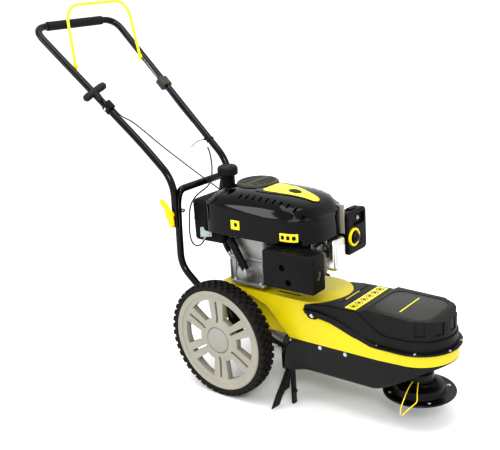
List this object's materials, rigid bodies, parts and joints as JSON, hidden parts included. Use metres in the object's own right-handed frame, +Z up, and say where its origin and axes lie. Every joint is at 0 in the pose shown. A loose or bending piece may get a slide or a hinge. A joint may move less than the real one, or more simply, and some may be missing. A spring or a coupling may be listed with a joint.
{
  "type": "walk-behind string trimmer",
  "caption": "Walk-behind wheeled string trimmer with a vertical-shaft engine, belt-driven trimmer head, folding handle, bail lever and recoil starter.",
  "frame": {"origin": "on the ground, at the middle of the machine's footprint; wheels and stand legs touch z = 0", "axes": "+X forward from the handle to the trimmer head, +Y to the machine's left, +Z up"},
  "size_m": [1.3915, 0.4064, 1.1564],
  "materials": {
    "tube_paint": "gloss black paint",
    "foam": "matte closed-cell foam",
    "yellow_steel": "gloss yellow paint",
    "bail_yellow": "plastic-coated yellow rod",
    "yellow_plastic": "satin yellow moulding",
    "black_plastic": "satin black moulding",
    "gloss_black": "high-gloss black",
    "grey_plastic": "satin olive-grey",
    "rim_plastic": "light warm grey moulding",
    "hub_plastic": "mid-grey moulding",
    "tyre_rubber": "matte block tread",
    "rubber": "satin rubber",
    "cast_aluminium": "cast, satin",
    "polished_aluminium": "smooth bright",
    "muffler_metal": "heat-stained aluminised sheet",
    "steel": "zinc plated",
    "dark_steel": "black coated steel",
    "plug_boot": "black boot",
    "cable_sheath": "black sheath",
    "rope": "braided cord",
    "line": "yellow nylon"
  },
  "bodies": {
    "chassis": {"axle": "steel", "lower_frame": "tube_paint", "clamp_bolt_right": "steel", "clamp_bolt_left": "steel", "deck": "yellow_steel", "belt_cover": "black_plastic", "cover_bolt_right": "steel", "cover_bolt_left": "steel", "guard_skirt": "gloss_black", "stand_leg_right": "dark_steel", "stand_leg_left": "dark_steel", "debris_flap_right": "rubber", "debris_flap_left": "rubber", "drive_belt": "rubber", "idler_bolt": "steel", "spindle_housing": "cast_aluminium", "crankcase": "cast_aluminium", "cylinder": "cast_aluminium", "valve_cover": "polished_aluminium", "spark_plug": "plug_boot", "engine_cowl": "gloss_black", "starter_grille": "grey_plastic", "fuel_tank": "black_plastic", "oil_filler": "black_plastic", "muffler": "muffler_metal", "muffler_guard": "black_plastic", "air_filter": "black_plastic", "brake_bracket": "steel", "starter_rope": "rope", "stop_cable_lower": "cable_sheath"},
    "wheel_right": {"wheel_rim_right": "rim_plastic", "tyre_right": "tyre_rubber", "hub_cap_right": "hub_plastic"},
    "wheel_left": {"wheel_rim_left": "rim_plastic", "tyre_left": "tyre_rubber", "hub_cap_left": "hub_plastic"},
    "handle": {"upper_handle": "tube_paint", "handle_grip": "foam", "bail_pin_right": "bail_yellow", "bail_pin_left": "bail_yellow", "cable_clamp": "grey_plastic", "rope_guide": "black_plastic", "stop_cable_upper": "cable_sheath", "cable_tie": "rubber"},
    "bail": {"bail_lever": "bail_yellow"},
    "starter_pull": {"starter_handle": "black_plastic"},
    "clamp_right": {"clamp_lever_right": "yellow_plastic"},
    "clamp_left": {"clamp_lever_left": "yellow_plastic"},
    "filler_cap": {"fuel_cap": "black_plastic"},
    "dipstick": {"oil_cap": "black_plastic"},
    "primer": {"primer_bulb": "rubber"},
    "trimmer": {"spindle_shaft": "steel", "spindle_pulley": "dark_steel", "line_holder": "dark_steel", "trimmer_dish": "gloss_black", "trimmer_line_a": "line", "trimmer_line_b": "line"},
    "crank": {"crankshaft": "steel", "engine_pulley": "dark_steel"},
    "idler": {"idler_pulley": "dark_steel"}
  },
  "joints": [
    {"name": "wheel_right_spin", "type": "hinge", "parent": "chassis", "child": "wheel_right", "pos_m": [0.02, -0.1755, 0.178], "axis": [0, 1, 0], "continuous": true},
    {"name": "wheel_left_spin", "type": "hinge", "parent": "chassis", "child": "wheel_left", "pos_m": [0.02, 0.1755, 0.178], "axis": [0, 1, 0], "continuous": true},
    {"name": "handle_fold", "type": "hinge", "parent": "chassis", "child": "handle", "pos_m": [-0.175, 0, 0.528], "axis": [0, 1, 0], "range_deg": [0, 85], "deforming": ["starter_rope", "stop_cable_lower"]},
    {"name": "bail_swing", "type": "hinge", "parent": "handle", "child": "bail", "pos_m": [-0.53437, 0, 0.96601], "axis": [0, -1, 0], "range_deg": [0, 34], "stiffness_Nm_per_rad": 1.5, "springref_deg": -28.65},
    {"name": "starter_pull", "type": "slide", "parent": "handle", "child": "starter_pull", "axis": [-0.7093, -0.2229, 0.6688], "range_m": [0, 0.45], "stiffness_N_per_m": 15, "springref_m": -0.4},
    {"name": "clamp_right_turn", "type": "hinge", "parent": "chassis", "child": "clamp_right", "pos_m": [-0.175, -0.15, 0.528], "axis": [0, -1, 0], "continuous": true},
    {"name": "clamp_left_turn", "type": "hinge", "parent": "chassis", "child": "clamp_left", "pos_m": [-0.175, 0.15, 0.528], "axis": [0, 1, 0], "continuous": true},
    {"name": "fuel_cap_turn", "type": "hinge", "parent": "chassis", "child": "filler_cap", "pos_m": [-0.099, 0.045, 0.63], "axis": [0, 0, 1], "range_deg": [0, 90]},
    {"name": "oil_cap_turn", "type": "hinge", "parent": "chassis", "child": "dipstick", "pos_m": [0.02, -0.098, 0.458], "axis": [-0.5576, 0.0858, 0.8257], "range_deg": [0, 270]},
    {"name": "primer_push", "type": "slide", "parent": "chassis", "child": "primer", "axis": [-1, 0, 0], "range_m": [0, 0.006], "stiffness_N_per_m": 400, "springref_m": -0.002},
    {"name": "trimmer_spin", "type": "hinge", "parent": "chassis", "child": "trimmer", "pos_m": [0.58, 0, 0.2], "axis": [0, 0, 1], "continuous": true},
    {"name": "crank_spin", "type": "hinge", "parent": "chassis", "child": "crank", "pos_m": [0.055, 0, 0.3], "axis": [0, 0, 1], "continuous": true},
    {"name": "idler_spin", "type": "hinge", "parent": "chassis", "child": "idler", "pos_m": [0.24, -0.0635, 0.268], "axis": [0, 0, 1], "continuous": true}
  ],
  "couplings": [
    {"joint": "crank_spin", "follows": "trimmer_spin", "ratio": 1.25},
    {"joint": "idler_spin", "follows": "trimmer_spin", "ratio": -2.35}
  ]
}
